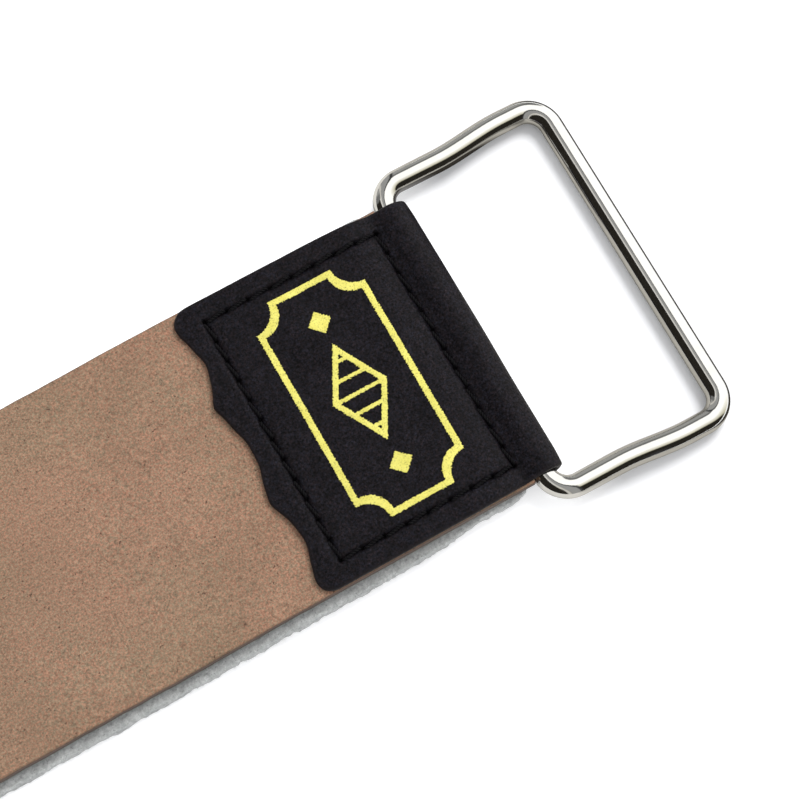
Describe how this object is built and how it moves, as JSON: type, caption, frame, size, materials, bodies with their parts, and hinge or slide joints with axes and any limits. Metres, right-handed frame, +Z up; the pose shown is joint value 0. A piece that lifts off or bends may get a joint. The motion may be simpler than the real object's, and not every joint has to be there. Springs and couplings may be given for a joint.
{
  "type": "leather strop",
  "caption": "Hanging strop: a leather honing strap over a felt strap, sewn into black leather end caps, with a wire handle loop at one end and a swivel snap hook on a ring at the other.",
  "frame": {"origin": "middle of the overall bounding box, on the surface that the strop lies on", "axes": "+X along the strop from the snap hook towards the handle loop, +Y across the strop, +Z up out of the honing leather"},
  "size_m": [0.6844, 0.0788, 0.0148],
  "materials": {
    "honing_leather": "matt, fine suede nap",
    "grey_felt": "fuzzy pressed wool",
    "cap_leather": "satin, fine grain",
    "black_thread": "waxed thread",
    "gold_foil": "hot-stamped foil",
    "chrome_wire": "bright plating",
    "chrome_casting": "bright plating over a casting",
    "spring_steel": "drawn wire"
  },
  "bodies": {
    "strop": {"leather_strap": "honing_leather", "felt_strap": "grey_felt", "handle_cap": "cap_leather", "handle_cap_foil": "gold_foil", "handle_cap_needle_thread": "black_thread", "handle_cap_bobbin_thread": "black_thread", "hanger_cap": "cap_leather", "hanger_cap_needle_thread": "black_thread", "hanger_cap_bobbin_thread": "black_thread"},
    "handle": {"handle_loop": "chrome_wire"},
    "ring": {"hanger_ring": "chrome_wire"},
    "eye": {"swivel_eye": "chrome_casting"},
    "snap_hook": {"snap_hook_body": "chrome_casting", "bolt_spring": "spring_steel"},
    "bolt": {"snap_bolt": "chrome_casting", "thumb_knob": "chrome_casting"}
  },
  "joints": [
    {"name": "handle_swing", "type": "hinge", "parent": "strop", "child": "handle", "pos_m": [0.30101, 0, 0.0047], "axis": [0, 1, 0], "range_deg": [-168, 162]},
    {"name": "ring_swing", "type": "hinge", "parent": "strop", "child": "ring", "pos_m": [-0.23039, 0, 0.0047], "axis": [0, 1, 0], "range_deg": [-90, 90]},
    {"name": "eye_swing", "type": "hinge", "parent": "ring", "child": "eye", "pos_m": [-0.27074, 0, 0.0065], "axis": [0, 1, 0], "range_deg": [-100, 100]},
    {"name": "hook_swivel", "type": "hinge", "parent": "eye", "child": "snap_hook", "pos_m": [-0.28133, 0, 0.00691], "axis": [-0.9987, 0, -0.0507], "continuous": true},
    {"name": "bolt_slide", "type": "slide", "parent": "snap_hook", "child": "bolt", "axis": [0.9987, 0, 0.0507], "range_m": [0, 0.0095], "stiffness_N_per_m": 400, "springref_m": -0.005, "deforming": ["bolt_spring"]}
  ]
}
